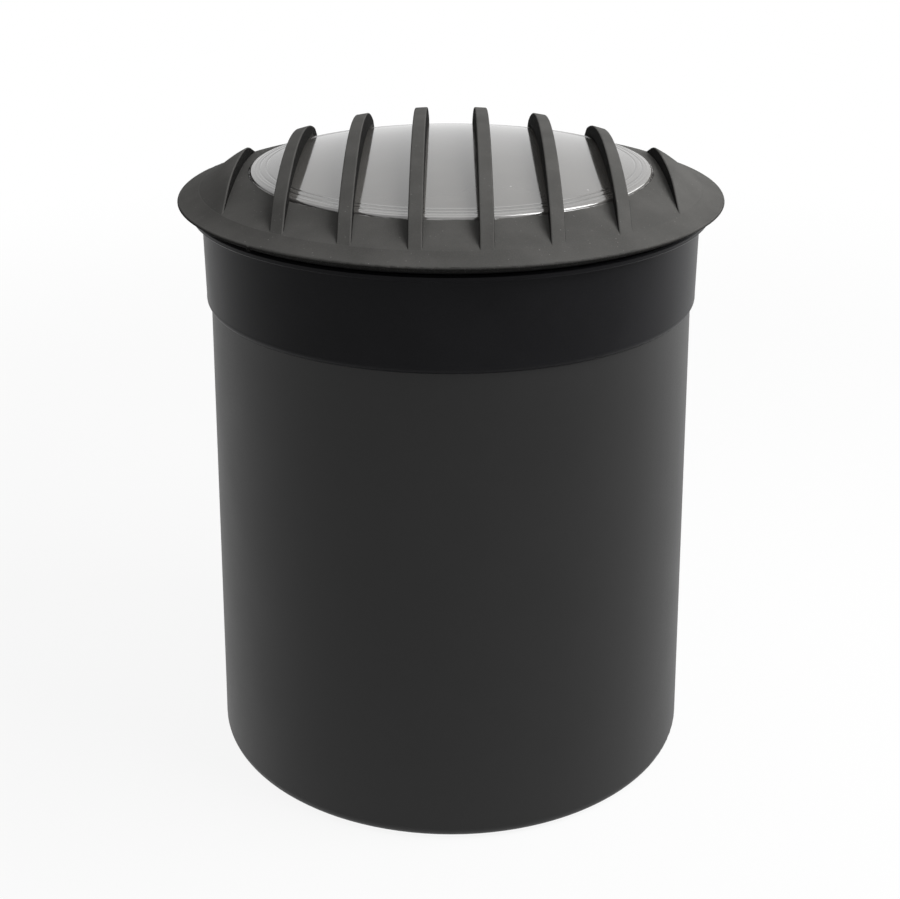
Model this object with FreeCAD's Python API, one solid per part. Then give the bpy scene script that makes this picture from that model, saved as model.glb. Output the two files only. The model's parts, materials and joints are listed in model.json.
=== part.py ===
import FreeCAD, Part
import math
import os

from FreeCAD import Vector

# In-ground well light: a louvred cap over a domed glass lens, a lens frame that lifts out of a
# collar, a flared sleeve that is buried, and a sealed-beam lamp that pans and tilts inside.
# Millimetres. The origin is the centre of the base, +Z is up, and the louvres run along Y.

# Gaps between pieces
free_gap = 0.3             # between pieces that move past each other
fit_gap = 0.08             # radial, where one piece turns or slides in another
loose_gap = 0.5            # round a piece that is dropped into its place

# Heights, down from the top edge of the cap's rim unless they say otherwise
rim_height = 206.5         # rim's top edge above the base
rim_band = 2.2             # thickness of the cap's edge
brim_drop = 3.8            # underside of the lens frame's brim
collar_flange_height = 2.2
collar_drop = 36.3         # lower edge of the collar
collar_edge_round = 2.5

# Louvre cap
opening_margin = 11.9      # the hole that the glass shows in is this much wider than the lamp
opening_rise = 7.4         # its edge above the rim
annulus_slope = 0.28       # fall of the surface between the louvres, per millimetre of radius
louvre_rise = 24.4         # top of the louvres' dome above the rim
dome_radius = 199.0        # of the sphere that the louvres' tops lie on
louvre_count = 8
louvre_end_margin = 5.44   # outermost louvres' middles beyond the edge of the opening
louvre_width = 4.5
louvre_edge_round = 0.45
louvre_sink = 0.05         # keeps the louvres' surface out of the annulus's where both fade
louvre_bury = 1.0          # depth of their feet in the annulus
shoulder_run = 18.6        # the dome leaves the sphere this far in from the rim
shoulder_ease = 5.6
shoulder_foot_inset = 11.2
shoulder_foot_rise = 3.35
rim_overhang = 7.8         # rim beyond the collar's wall
rim_round = 0.8
rim_undercut = 1.7         # how far the cap's edge slopes in underneath
cap_edge_height = 3.8      # height of the cap's edge round the glass
spigot_wall = 2.2          # the ring under the cap that turns in the lens frame
spigot_depth = 3.2
bead_height = 1.0
bead_reach = 0.6
nub_radius = 0.7           # the small stud left on the rim
nub_angle = -131.5

# Lens, its gasket and the frame
lens_gap = 0.5             # between the glass and the cap's opening
lens_edge_rise = 8.2
lens_rise = 15.3
lens_wall = 5.0
lens_edge_round = 0.9
lens_step = 1.1            # height of each moulded ring inside the edge
lens_step_width = 1.7
lens_step_count = 2
lens_flange_width = 4.6
lens_flange_height = 5.0
gasket_height = 1.5
lip_height = 2.5           # the frame's lip that the glass is clamped against
lip_drop = 3.5
frame_bore_gap = 0.3
frame_web = 8.0            # frame's wall from the glass out to the collar
brim_width = 5.8
clamp_ring_height = 3.0
clamp_ring_overlap = 8.0   # how far it reaches in under the glass
clamp_screw_count = 6
seal_cord = 3.0
seal_squeeze = 0.5
seal_drop = 9.5

# Collar
collar_wall = 3.7
collar_flange_reach = 3.3
lap_wall = 1.5             # skirt over the top of the sleeve
lap_gap = 0.15
ledge_drop = 24.5
ledge_height = 4.0

# Sleeve
sleeve_wall = 3.0
sleeve_flare = 4.5         # how much wider the base is than the top, on the radius
sleeve_floor = 4.0
sleeve_edge_round = 4.0
floor_margin = 0.5         # from the foot's rounding in to the floor plate's edge
floor_step = 2.0           # height of the step in the foot that the plate rests on
floor_step_width = 2.5
boss_radius = 3.2
boss_height = 18.0
boss_inset = 2.4           # boss centre inside the sleeve's bore
conduit_hole_radius = 13.7
drain_hole_radius = 4.0
drain_circle_radius = 55.0
drain_count = 6

# Cable grommet at the back
grommet_height = 30.0      # centre above the base
grommet_bore_radius = 5.0
grommet_neck_radius = 9.0
grommet_lip_radius = 12.5
grommet_lip = 2.0

# Screws
screw_radius = 1.5
screw_head_radius = 2.75
screw_head_height = 1.9
screw_recess = 0.9
screw_bite = 10.0          # length of thread in the piece that holds it
collar_screw_count = 4
clip_count = 3
clip_height = 1.5
clip_width = 8.0
clip_reach = 3.0           # over the edge of the pan ring

# Lamp and its carriage
lamp_radius = 57.0
lamp_face_drop = 31.0      # edge of the lamp's glass
lamp_edge_height = 5.0
lamp_crown = 3.0
lamp_glass_wall = 3.0
lamp_depth = 47.0          # from the edge to the end of the reflector
lamp_neck_radius = 16.0
lamp_neck_height = 10.0
lamp_base_height = 4.0
post_radius = 1.1          # the lamp's two contact posts
post_spacing = 10.0
post_length = 6.0
post_bore_gap = 0.1
tab_height = 1.2
tab_inner = 2.0
tab_outer = 11.0
tab_half_width = 3.5
reflector_wall = 2.5
lamp_bowl_inset = 4.0      # of the bowl inside the lamp's edge
lamp_neck_lip = 4.0
burner_radius = 4.8
burner_height = 24.5
pivot_drop = 42.5
cradle_wall = 1.4
cradle_height = 15.0
cradle_lip = 2.9
cradle_lip_height = 2.0
arm_gap = 1.7              # between the cradle and the arms
arm_wall = 1.5
arm_width = 16.0
pin_radius = 2.5
knob_radius = 6.0
knob_depth = 6.7
knob_flutes = 8
pan_ring_height = 2.5
pan_hub_height = 3.7
pan_hub_wall = 6.0
lamp_clip_count = 3
lamp_clip_wall = 0.8
lamp_clip_width = 9.0
lamp_clip_leg = 8.0        # below the lamp's seat
lamp_clip_rise = 2.2       # above the edge of the lamp's glass
lamp_clip_finger = 0.8     # its thickness
lamp_clip_reach = 5.5      # in over the glass
lamp_clip_dip = 1.5        # where the finger comes nearest to the glass
lamp_clip_dip_drop = 1.0
lamp_clip_tip_drop = 0.4
rivet_radius = 1.0
rivet_drop = 5.0           # below the lamp's seat

# Terminal block on the floor
block_length = 34.0
block_depth = 18.0
block_height = 16.0
block_seat_height = 6.0
block_ear_height = 5.0
block_offset = -44.0       # towards the front, clear of the grommet's cable

# Worked out from the sizes above, from the glass outwards
rim_z = rim_height
opening_radius = lamp_radius + opening_margin
louvre_pitch = 2 * (opening_radius + louvre_end_margin) / (louvre_count - 1)
lens_radius = opening_radius - lens_gap
lens_flange_radius = lens_radius + lens_flange_width
frame_bore = lens_flange_radius + frame_bore_gap
frame_radius = frame_bore + frame_web
collar_bore = frame_radius + 2 * fit_gap
collar_radius = collar_bore + collar_wall
brim_radius = frame_radius + brim_width
rim_radius = collar_radius + rim_overhang
spigot_radius = frame_bore + spigot_wall + 1.4
frame_throat = spigot_radius + fit_gap
sleeve_radius = collar_radius - lap_wall - lap_gap
sleeve_bore = sleeve_radius - sleeve_wall
boss_circle = sleeve_bore - boss_inset
clamp_screw_circle = frame_bore + screw_radius + 1.4

brim_z = rim_z - brim_drop
lip_z = rim_z - lip_drop - lip_height
gasket_z = lip_z - gasket_height
lens_base_z = gasket_z - lens_flange_height
clamp_ring_z = lens_base_z - clamp_ring_height
collar_top_z = brim_z - 0.2
ledge_z = rim_z - ledge_drop
sleeve_top_z = ledge_z - ledge_height
pivot_z = rim_z - pivot_drop
lamp_edge_z = rim_z - lamp_face_drop
lamp_seat_z = lamp_edge_z - lamp_edge_height
lamp_neck_inner = lamp_neck_radius - reflector_wall - lamp_neck_lip

cradle_bore = lamp_radius + 0.4
cradle_radius = cradle_bore + cradle_wall
arm_inside = cradle_radius + arm_gap
arm_outside = arm_inside + arm_wall
pan_bore = math.hypot(arm_outside, arm_width / 2) + free_gap
ledge_bore = arm_outside + knob_depth + 1.3
pan_hub_radius = ledge_bore - fit_gap
pan_ring_radius = boss_circle - screw_head_radius - 1.6
pan_ring_z = ledge_z + 0.2
pan_top_z = pan_ring_z + pan_ring_height


def turned(start, *steps):
    # Solid of revolution about Z from (radius, height) corners. A step is a corner, or
    # (through, end) for an arc, or (pole, pole, end) for a curve.
    def place(corner):
        return Vector(corner[0], 0, corner[1])
    edges = []
    here = start
    for step in steps + (start,):
        if not isinstance(step[0], tuple):
            end = step
            edges.append(Part.makeLine(place(here), place(end)))
        elif len(step) == 2:
            end = step[1]
            edges.append(Part.Arc(place(here), place(step[0]), place(end)).toShape())
        else:
            end = step[2]
            curve = Part.BezierCurve()
            curve.setPoles([place(here)] + [place(pole) for pole in step])
            edges.append(curve.toShape())
        here = end
    return Part.Face(Part.Wire(edges)).revolve(Vector(0, 0, 0), Vector(0, 0, 1), 360)


def rod(radius, low, high, x=0.0, y=0.0):
    return Part.makeCylinder(radius, high - low, Vector(x, y, low))


def ring(outer, inner, low, high):
    return rod(outer, low, high).cut(rod(inner, low - 1, high + 1))


def block(x_low, x_high, y_low, y_high, z_low, z_high):
    size = (x_high - x_low, y_high - y_low, z_high - z_low)
    return Part.makeBox(*size, Vector(x_low, y_low, z_low))


def cross_rod(radius, x_low, x_high, z):
    return Part.makeCylinder(radius, x_high - x_low, Vector(x_low, 0, z), Vector(1, 0, 0))


def spun(shape, degrees):
    copy = shape.copy()
    copy.rotate(Vector(0, 0, 0), Vector(0, 0, 1), degrees)
    return copy


def around(shape, count, first=0.0):
    return [spun(shape, first + 360.0 * index / count) for index in range(count)]


def mirrored(shape):
    return shape.mirror(Vector(0, 0, 0), Vector(1, 0, 0))


def cut_all(shape, tools):
    return shape.cut(Part.makeCompound(tools))


def fuse_all(shape, others):
    return shape.fuse(others).removeSplitter()


def save(node, *solids):
    shape = solids[0] if len(solids) == 1 else Part.makeCompound(list(solids))
    pieces = shape.Solids
    sound = shape.isValid() and all(piece.isClosed() for piece in pieces)
    verdict = "" if sound else "NOT SOUND"
    print(f"{node:24s} {len(pieces):3d} solids {shape.Volume:12.1f} mm3 {verdict}")
    shape.exportStep(f"parts/{node}.step")


def sphere_height(crown_z, radius, r):
    return crown_z - radius + math.sqrt(radius ** 2 - r ** 2)


def cap_radius_through(chord, sagitta):
    return (chord ** 2 + sagitta ** 2) / (2 * sagitta)


def pan_screw(x, z, length=screw_bite, upward=False):
    # One cross-recess pan-head screw at x: its head's seat is at z, its shank goes down.
    head = turned((0, 0), (screw_head_radius, 0), (screw_head_radius, 0.4 * screw_head_height),
                  ((0.75 * screw_head_radius, 0.85 * screw_head_height), (0, screw_head_height)))
    slot = 0.3 * screw_head_radius
    arm = 0.62 * screw_head_radius
    floor = screw_head_height - screw_recess
    recess = block(-arm, arm, -slot / 2, slot / 2, floor, screw_head_height + 1)
    recess = recess.fuse(block(-slot / 2, slot / 2, -arm, arm, floor, screw_head_height + 1))
    shank = turned((0, 0.1), (0, -length), (0.5 * screw_radius, -length),
                   (screw_radius, -length + screw_radius), (screw_radius, 0.1))
    screw = head.cut(recess).fuse(shank).removeSplitter()
    if upward:
        screw.rotate(Vector(0, 0, 0), Vector(1, 0, 0), 180)
    screw.translate(Vector(x, 0, z))
    return screw


# ---- louvre cap ----

def annulus_z(r):
    return rim_z + opening_rise - annulus_slope * (r - opening_radius)


def cap_blank():
    start_r = rim_radius - shoulder_run
    crown_z = rim_z + louvre_rise
    start_z = sphere_height(crown_z, dome_radius, start_r)
    slope = start_r / math.sqrt(dome_radius ** 2 - start_r ** 2)
    half_r = start_r / 2
    foot = (rim_radius - shoulder_foot_inset, rim_z + shoulder_foot_rise)
    edge_r = rim_radius - rim_round
    under_z = rim_z - rim_band
    under_r = rim_radius - rim_undercut
    plate_z = rim_z + 0.1
    skirt_bore = brim_radius + free_gap
    ease = (start_r + shoulder_ease, start_z - slope * shoulder_ease)
    bend = rim_round * (1 - math.sqrt(0.5))
    opening_low = rim_z + opening_rise - cap_edge_height
    spigot_z = rim_z - spigot_depth
    spigot_in = spigot_radius - spigot_wall
    return turned(
        (0, crown_z),
        ((half_r, sphere_height(crown_z, dome_radius, half_r)), (start_r, start_z)),
        (ease, foot, (edge_r, rim_z)),
        ((rim_radius - bend, rim_z - bend), (rim_radius, rim_z - rim_round)),
        (under_r, under_z + 0.4), (under_r - 0.4, under_z), (skirt_bore, under_z),
        (skirt_bore, plate_z), (spigot_radius, plate_z),
        (spigot_radius, spigot_z + bead_height),
        (spigot_radius + bead_reach, spigot_z + 0.6 * bead_height),
        (spigot_radius + bead_reach, spigot_z), (spigot_in, spigot_z),
        (spigot_in, opening_low), (0, opening_low))


def under_louvres():
    # Space that the glass and the clearance over it take, up to the louvres' undersides.
    gap = 4 * free_gap
    crown_z = rim_z + lens_rise + gap
    radius = cap_radius_through(lens_radius, lens_rise - lens_edge_rise)
    edge_z = sphere_height(crown_z, radius, opening_radius)
    half_r = opening_radius / 2
    low = rim_z - 2 * spigot_depth
    return turned((0, low), (opening_radius, low), (opening_radius, edge_z),
                  ((half_r, sphere_height(crown_z, radius, half_r)), (0, crown_z)))


def above_annulus():
    far_r = rim_radius + 5
    high = rim_z + 2 * louvre_rise
    low = rim_z - 2 * spigot_depth
    return turned((0, low), (opening_radius, low), (opening_radius, annulus_z(opening_radius)),
                  (far_r, annulus_z(far_r)), (far_r, high), (0, high))


def louvre_sides():
    # Where each louvre starts and ends across; the two outermost run on into the rim.
    first = -louvre_pitch * (louvre_count - 1) / 2
    centres = [first + louvre_pitch * index for index in range(louvre_count)]
    sides = [[x - louvre_width / 2, x + louvre_width / 2] for x in centres]
    sides[0][0] = -rim_radius
    sides[-1][1] = rim_radius
    return sides


def louvre(low_x, high_x):
    high = rim_z + 2 * louvre_rise
    feet_r = rim_radius - rim_band
    opening_low = rim_z + opening_rise - cap_edge_height
    strip = cap_blank().common(rod(feet_r, rim_z - 0.7 * rim_band, high))
    strip = strip.common(block(low_x, high_x, -feet_r, feet_r, rim_z - rim_band, high))
    edges = [edge for edge in strip.Edges if is_top_edge(edge, (low_x, high_x), opening_low)]
    strip = strip.makeFillet(louvre_edge_round, edges)
    strip.translate(Vector(0, 0, -louvre_sink))
    spigot_in = spigot_radius - spigot_wall
    above = turned((0, opening_low + louvre_bury), (spigot_in, opening_low + louvre_bury),
                   (rim_radius, rim_z + 0.3), (rim_radius, high), (0, high))
    return strip.common(above).cut(under_louvres())


def is_top_edge(edge, sides, low_z):
    middle = edge.valueAt((edge.FirstParameter + edge.LastParameter) / 2)
    on_side = any(abs(middle.x - x) < 0.001 for x in sides) and edge.BoundBox.XLength < 0.001
    return on_side and edge.BoundBox.YLength > 0.001 and middle.z > low_z + louvre_edge_round


def louvre_cap():
    cap = cap_blank().cut(above_annulus()).cut(under_louvres())
    cap = fuse_all(cap, [louvre(low_x, high_x) for low_x, high_x in louvre_sides()])
    nub = rod(nub_radius, rim_z - rim_band + 0.1, rim_z - 0.3, rim_radius - 0.65 * nub_radius, 0)
    return fuse_all(cap, [spun(nub, nub_angle)])


# ---- lens and its frame ----

def lens():
    radius = cap_radius_through(lens_radius, lens_rise - lens_edge_rise)
    crown_z = rim_z + lens_rise
    edge_z = rim_z + lens_edge_rise
    round_r = lens_radius - lens_edge_round
    inner_radius = radius - lens_wall
    inner_crown = crown_z - lens_wall
    wall_r = lens_radius - lens_wall
    steps = []
    step_r = wall_r - lens_step_count * lens_step_width
    step_z = sphere_height(inner_crown, inner_radius, step_r)
    first_z = step_z
    first_r = step_r
    for _ in range(lens_step_count):
        step_z -= lens_step
        steps.append((step_r, step_z))
        step_r += lens_step_width
        steps.append((step_r, step_z))
    bend = lens_edge_round * (1 - math.sqrt(0.5))
    return turned(
        (0, crown_z),
        ((round_r / 2, sphere_height(crown_z, radius, round_r / 2)),
         (round_r, sphere_height(crown_z, radius, round_r))),
        ((lens_radius - bend, edge_z - bend), (lens_radius, edge_z - lens_edge_round)),
        (lens_radius, gasket_z), (lens_flange_radius, gasket_z),
        (lens_flange_radius, lens_base_z), (wall_r, lens_base_z),
        *reversed(steps), (first_r, first_z),
        ((first_r / 2, sphere_height(inner_crown, inner_radius, first_r / 2)), (0, inner_crown)))


def lens_gasket():
    return ring(lens_flange_radius, lens_radius + loose_gap, gasket_z, lip_z)


def lens_frame():
    groove_r = frame_radius - seal_cord + seal_squeeze
    groove_top = rim_z - seal_drop + seal_cord / 2 + 0.2
    groove_low = rim_z - seal_drop - seal_cord / 2 - 0.2
    lip_bore = lens_radius + 2 * loose_gap
    groove_in = spigot_radius + bead_reach + free_gap
    snap_low = rim_z - spigot_depth - free_gap
    snap_high = rim_z - spigot_depth + bead_height + free_gap
    top_z = rim_z - 0.2
    frame = turned(
        (frame_throat, top_z), (brim_radius - 0.4, top_z), (brim_radius, top_z - 0.4),
        (brim_radius, brim_z), (frame_radius, brim_z), (frame_radius, groove_top),
        (groove_r, groove_top), (groove_r, groove_low), (frame_radius, groove_low),
        (frame_radius, lens_base_z + 0.8), (frame_radius - 0.8, lens_base_z),
        (frame_bore, lens_base_z), (frame_bore, lip_z), (lip_bore, lip_z),
        (lip_bore, snap_low), (groove_in, snap_low), (groove_in, snap_high - 0.5),
        (frame_throat, snap_high))
    pilot = rod(screw_radius, lens_base_z - 1, lens_base_z + screw_bite - clamp_ring_height + 1.5,
                clamp_screw_circle)
    return cut_all(frame, around(pilot, clamp_screw_count))


def lens_clamp_ring():
    inner = lens_flange_radius - clamp_ring_overlap
    plate = ring(frame_radius - 0.6, inner, clamp_ring_z, lens_base_z)
    hole = rod(screw_radius + 0.2, clamp_ring_z - 1, lens_base_z + 1, clamp_screw_circle)
    return cut_all(plate, around(hole, clamp_screw_count))


def lens_clamp_screws():
    return around(pan_screw(clamp_screw_circle, clamp_ring_z, upward=True), clamp_screw_count)


def frame_seal():
    radius = frame_radius - seal_cord / 2 + seal_squeeze / 2
    squeezed = ring(collar_bore - fit_gap / 2, frame_radius - seal_cord + seal_squeeze,
                    rim_z - seal_drop - seal_cord, rim_z - seal_drop + seal_cord)
    cord = Part.makeTorus(radius, seal_cord / 2 + 0.05, Vector(0, 0, rim_z - seal_drop))
    return cord.common(squeezed)


# ---- collar ----

def collar():
    flange_r = collar_radius + collar_flange_reach
    flange_low = collar_top_z - collar_flange_height
    low_z = rim_z - collar_drop
    lap_bore = sleeve_radius + lap_gap
    lap_mouth = sleeve_radius_at(low_z) + lap_gap
    edge = collar_edge_round
    lip = min(edge, lap_wall * 0.8)
    body = turned(
        (collar_bore, collar_top_z - 0.6), (collar_bore + 0.6, collar_top_z),
        (flange_r - 0.6, collar_top_z), (flange_r, collar_top_z - 0.6), (flange_r, flange_low + 0.6),
        (flange_r - 0.6, flange_low), (collar_radius, flange_low), (collar_radius, low_z + edge),
        ((collar_radius - 0.3 * lip, low_z + 0.3 * edge), (collar_radius - lip, low_z)),
        (lap_mouth, low_z), (lap_bore, sleeve_top_z), (ledge_bore, sleeve_top_z),
        (ledge_bore, ledge_z), (collar_bore, ledge_z))
    shank_low = sleeve_top_z - 1
    screw_hole = rod(screw_radius + 0.2, shank_low, ledge_z + 1, boss_circle)
    clip_hole = rod(screw_radius, shank_low, ledge_z + 1, boss_circle)
    holes = around(screw_hole, collar_screw_count, 45) + around(clip_hole, clip_count, 90)
    return cut_all(body, holes)


def collar_screws():
    return around(pan_screw(boss_circle, ledge_z), collar_screw_count, 45)


# ---- sleeve ----

def sleeve_radius_at(z):
    return sleeve_radius + sleeve_flare * (1 - z / sleeve_top_z)


def foot_radii():
    # Of the floor plate above and below the step that it rests on.
    wide = sleeve_radius_at(sleeve_edge_round) - sleeve_edge_round - floor_margin
    return wide, wide - floor_step_width


def sleeve():
    edge = sleeve_edge_round
    bend = edge * (1 - math.sqrt(0.5))
    foot_r = sleeve_radius_at(edge)
    wide, narrow = foot_radii()
    inner_foot = sleeve_radius_at(sleeve_floor) - sleeve_wall
    shell = turned(
        (narrow, 0), (foot_r - edge, 0), ((foot_r - bend, bend), (foot_r, edge)),
        (sleeve_radius, sleeve_top_z), (sleeve_bore, sleeve_top_z), (inner_foot, sleeve_floor + 2),
        (inner_foot - 2, sleeve_floor), (wide, sleeve_floor), (wide, floor_step),
        (narrow, floor_step))
    boss = rod(boss_radius, sleeve_top_z - boss_height, sleeve_top_z, boss_circle)
    web = block(boss_circle, sleeve_bore + 0.8, -1.2, 1.2, sleeve_top_z - boss_height, sleeve_top_z)
    shell = fuse_all(shell, around(fuse_all(boss, [web]), collar_screw_count, 45))
    screw_floor = ledge_z - screw_bite - 1
    pilot = rod(screw_radius, screw_floor, sleeve_top_z + 1, boss_circle)
    shell = cut_all(shell, around(pilot, collar_screw_count, 45))
    outer_r = sleeve_radius_at(grommet_height)
    hole = rod(grommet_neck_radius, 0, outer_r + grommet_lip_radius)
    hole.rotate(Vector(0, 0, 0), Vector(1, 0, 0), -90)
    hole.translate(Vector(0, 0, grommet_height))
    return shell.cut(hole)


def floor_plate():
    wide, narrow = foot_radii()
    plate = turned(
        (0, 0), (narrow, 0), (narrow, floor_step), (wide, floor_step), (wide, sleeve_floor),
        (0, sleeve_floor))
    plate = fuse_all(plate, [post for post, _ in block_posts()])
    drain = rod(drain_hole_radius, -1, sleeve_floor + 1, drain_circle_radius)
    entry = rod(conduit_hole_radius, -1, sleeve_floor + 1)
    pilots = [hole for _, hole in block_posts()]
    return cut_all(plate, around(drain, drain_count, 30) + [entry] + pilots)


def cable_grommet():
    # Drawn along Z about its neck, then laid along Y in the wall at the back.
    wall_in = sleeve_radius_at(grommet_height) - sleeve_wall
    neck = sleeve_wall + 2.2
    mid = neck / 2
    body = turned(
        (grommet_bore_radius, -mid - grommet_lip), (grommet_lip_radius - 1, -mid - grommet_lip),
        (grommet_lip_radius, -mid - grommet_lip + 1), (grommet_lip_radius, -mid),
        (grommet_neck_radius - 0.05, -mid), (grommet_neck_radius - 0.05, mid),
        (grommet_lip_radius, mid), (grommet_lip_radius - 2, mid + grommet_lip),
        (grommet_bore_radius, mid + grommet_lip))
    body.rotate(Vector(0, 0, 0), Vector(1, 0, 0), -90)
    body.translate(Vector(0, wall_in + sleeve_wall / 2, grommet_height))
    return body.cut(sleeve_skin())


def sleeve_skin():
    # The sleeve's wall alone, which the grommet's lips hug on both sides.
    top = sleeve_top_z
    skin = turned((sleeve_radius_at(0), 0), (sleeve_radius, top), (sleeve_bore, top),
                  (sleeve_radius_at(0) - sleeve_wall, 0))
    bore = Part.makeCylinder(grommet_neck_radius, 2 * sleeve_radius,
                             Vector(0, 0, grommet_height), Vector(0, 1, 0))
    return skin.cut(bore)


# ---- pan ring, arms and cradle ----

def pan_ring():
    hub_in = pan_hub_radius - pan_hub_wall
    plate = turned(
        (pan_bore, pan_ring_z), (hub_in, pan_ring_z), (hub_in, pan_ring_z - pan_hub_height),
        (pan_hub_radius, pan_ring_z - pan_hub_height), (pan_hub_radius, pan_ring_z),
        (pan_ring_radius, pan_ring_z), (pan_ring_radius, pan_top_z), (pan_bore, pan_top_z))
    pilot = rod(screw_radius, pan_ring_z - pan_hub_height - 12, pan_top_z + 1, arm_screw_x())
    return cut_all(plate, [pilot, mirrored(pilot)])


def arm_screw_x():
    return pan_hub_radius - pan_hub_wall / 2


def carriage_arm():
    low_z = pivot_z - arm_width / 2
    foot_end = pan_ring_radius - clip_reach - 1.2
    top = pan_top_z + arm_wall
    leg = block(arm_inside, arm_outside, -arm_width / 2, arm_width / 2, pivot_z, top)
    toe = cross_rod(arm_width / 2, arm_inside, arm_outside, pivot_z)
    foot = block(arm_inside, foot_end, -arm_width / 2, arm_width / 2, pan_top_z, top)
    arm = fuse_all(leg, [toe, foot])
    holes = [cross_rod(pin_radius + fit_gap, arm_inside - 1, arm_outside + 1, pivot_z),
             rod(screw_radius + 0.2, low_z, top + 1, arm_screw_x())]
    return cut_all(arm, holes)


def carriage_arms():
    arm = carriage_arm()
    return [arm, mirrored(arm)]


def arm_screws():
    screw = pan_screw(arm_screw_x(), pan_top_z + arm_wall)
    return [screw, mirrored(screw)]


def ring_clips():
    # Each clip is screwed to the collar's ledge and holds the pan ring down by its edge.
    top = pan_top_z + free_gap
    reach = pan_ring_radius - clip_reach
    tongue = block(reach, boss_circle + screw_head_radius, -clip_width / 2, clip_width / 2,
                   top, top + clip_height)
    foot = block(pan_ring_radius + free_gap, boss_circle + screw_head_radius,
                 -clip_width / 2, clip_width / 2, ledge_z, top)
    hole = rod(screw_radius + 0.2, ledge_z - 1, top + clip_height + 1, boss_circle)
    clip = fuse_all(tongue, [foot]).cut(hole)
    return around(clip, clip_count, 90)


def ring_clip_screws():
    seat = pan_top_z + free_gap + clip_height
    return around(pan_screw(boss_circle, seat), clip_count, 90)


def lamp_cradle():
    top = lamp_seat_z + 3.0
    low = top - cradle_height
    lip_in = cradle_bore - cradle_lip
    band = turned(
        (cradle_radius, low), (cradle_radius, top), (cradle_bore, top), (cradle_bore, lamp_seat_z),
        (lip_in, lamp_seat_z), (lip_in, lamp_seat_z - cradle_lip_height),
        (cradle_bore, lamp_seat_z - cradle_lip_height), (cradle_bore, low))
    pad = cross_rod(pin_radius + 2.0, cradle_bore + 0.2, cradle_radius + 0.6, pivot_z)
    band = fuse_all(band, [pad, mirrored(pad)])
    hole = cross_rod(pin_radius, cradle_bore - 5, cradle_radius + 5, pivot_z)
    return cut_all(band, [hole, mirrored(hole)] + lamp_clip_holes())


def tilt_pins():
    head = cross_rod(pin_radius + 1.4, cradle_bore - 1.3, cradle_bore, pivot_z)
    shank = cross_rod(pin_radius, cradle_bore - 0.5, arm_outside + knob_depth - 1.5, pivot_z)
    head = head.cut(ring(cradle_bore + 5, cradle_bore, pivot_z - 20, pivot_z + 20))
    pin = fuse_all(head, [shank])
    return [pin, mirrored(pin)]


def tilt_knob():
    low_x = arm_outside + free_gap
    high_x = arm_outside + knob_depth
    knob = cross_rod(knob_radius, low_x, high_x, pivot_z)
    flute = cross_rod(0.9, low_x + 1.6, high_x + 1, pivot_z + knob_radius)
    flutes = []
    for index in range(knob_flutes):
        copy = flute.copy()
        copy.rotate(Vector(0, 0, pivot_z), Vector(1, 0, 0), 360.0 * index / knob_flutes)
        flutes.append(copy)
    bore = cross_rod(pin_radius + fit_gap, low_x - 1, high_x - 1.4 + fit_gap, pivot_z)
    return cut_all(knob, flutes + [bore])


# ---- sealed-beam lamp ----

def lamp_glass():
    crown_z = lamp_edge_z + lamp_crown
    radius = cap_radius_through(lamp_radius, lamp_crown)
    inner = lamp_radius - 2.5
    half = lamp_radius / 2
    inner_crown = crown_z - lamp_glass_wall
    low_z = lamp_edge_z - lamp_glass_wall
    return turned(
        (0, crown_z), ((half, sphere_height(crown_z, radius, half)), (lamp_radius, lamp_edge_z)),
        (lamp_radius, low_z), (inner, low_z), (inner, sphere_height(inner_crown, radius, inner)),
        ((inner / 2, sphere_height(inner_crown, radius, inner / 2)), (0, inner_crown)))


def lamp_reflector():
    top_z = lamp_edge_z - lamp_glass_wall
    end_z = lamp_edge_z - lamp_depth
    bowl_r = lamp_radius - lamp_bowl_inset
    waist = ((bowl_r + lamp_neck_radius) * 0.62, (lamp_seat_z + end_z) / 2 - 3)
    inner_waist = (waist[0] - reflector_wall, waist[1] + 1.0)
    wall = reflector_wall
    neck_in = lamp_neck_inner
    return turned(
        (lamp_radius, top_z), (lamp_radius, lamp_seat_z), (bowl_r, lamp_seat_z),
        (waist, (lamp_neck_radius, end_z)), (lamp_neck_radius, end_z - lamp_neck_height),
        (neck_in, end_z - lamp_neck_height), (neck_in, end_z + wall),
        (inner_waist, (bowl_r - wall, top_z)))


def lamp_base():
    end_z = lamp_edge_z - lamp_depth - lamp_neck_height
    low_z = end_z - lamp_base_height
    disc = rod(lamp_neck_radius, low_z, end_z)
    plug = rod(lamp_neck_inner, low_z, end_z + lamp_neck_height)
    bores = [rod(post_radius + post_bore_gap, low_z - 1, end_z + lamp_neck_height + 1, x)
             for x in (-post_spacing / 2, post_spacing / 2)]
    return cut_all(fuse_all(disc, [plug]), bores)


def lamp_burner():
    # Halogen capsule: pinch, bulb and its two pins.
    base_z = lamp_edge_z - lamp_depth
    radius = burner_radius
    shoulder_z = base_z + 0.45 * burner_height
    crown_z = base_z + burner_height
    bend = radius * (1 - math.sqrt(0.5))
    pinch = block(-0.8 * radius, 0.8 * radius, -0.35 * radius, 0.35 * radius, base_z, shoulder_z)
    bulb = turned((0, shoulder_z - radius), (0.5 * radius, shoulder_z - radius),
                  (radius, shoulder_z), (radius, crown_z - radius),
                  ((radius - bend, crown_z - bend), (0, crown_z)))
    return fuse_all(bulb, [pinch])


def lamp_terminals():
    top_z = lamp_edge_z - lamp_depth
    end_z = top_z - lamp_neck_height - lamp_base_height
    post = rod(post_radius, end_z - post_length, top_z, post_spacing / 2)
    tab = block(tab_inner, tab_outer, -tab_half_width, tab_half_width, end_z - tab_height, end_z)
    terminal = fuse_all(tab, [post])
    return [terminal, mirrored(terminal)]


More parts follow.
